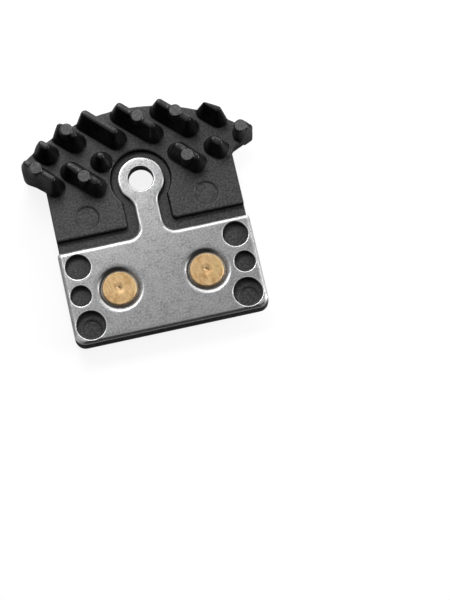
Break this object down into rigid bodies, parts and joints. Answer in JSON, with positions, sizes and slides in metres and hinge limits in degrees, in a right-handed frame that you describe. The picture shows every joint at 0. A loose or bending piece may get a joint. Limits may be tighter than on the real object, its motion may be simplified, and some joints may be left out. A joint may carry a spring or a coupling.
{
  "type": "bicycle disc brake pad",
  "caption": "Finned bicycle disc brake pad: sintered friction block on a black cast fin plate, with a riveted steel back plate and a tab for the retaining pin.",
  "frame": {"origin": "on the friction face, in the middle across the pad, level with the middle of the friction block", "axes": "+Z from the friction face to the piston side, +X across the pad to the sharp ear, +Y from the friction block to the fins"},
  "size_m": [0.0434, 0.0433, 0.0101],
  "materials": {
    "friction": "sintered metal, ground with slanting marks",
    "casting": "matt black coated casting",
    "steel": "satin stamped stainless steel with rolled edges",
    "rivet": "dull, faintly brushed"
  },
  "bodies": {
    "root": {"friction_block": "friction", "fin_plate": "casting", "back_plate": "steel", "left_rivet": "rivet", "right_rivet": "rivet"}
  },
  "joints": []
}
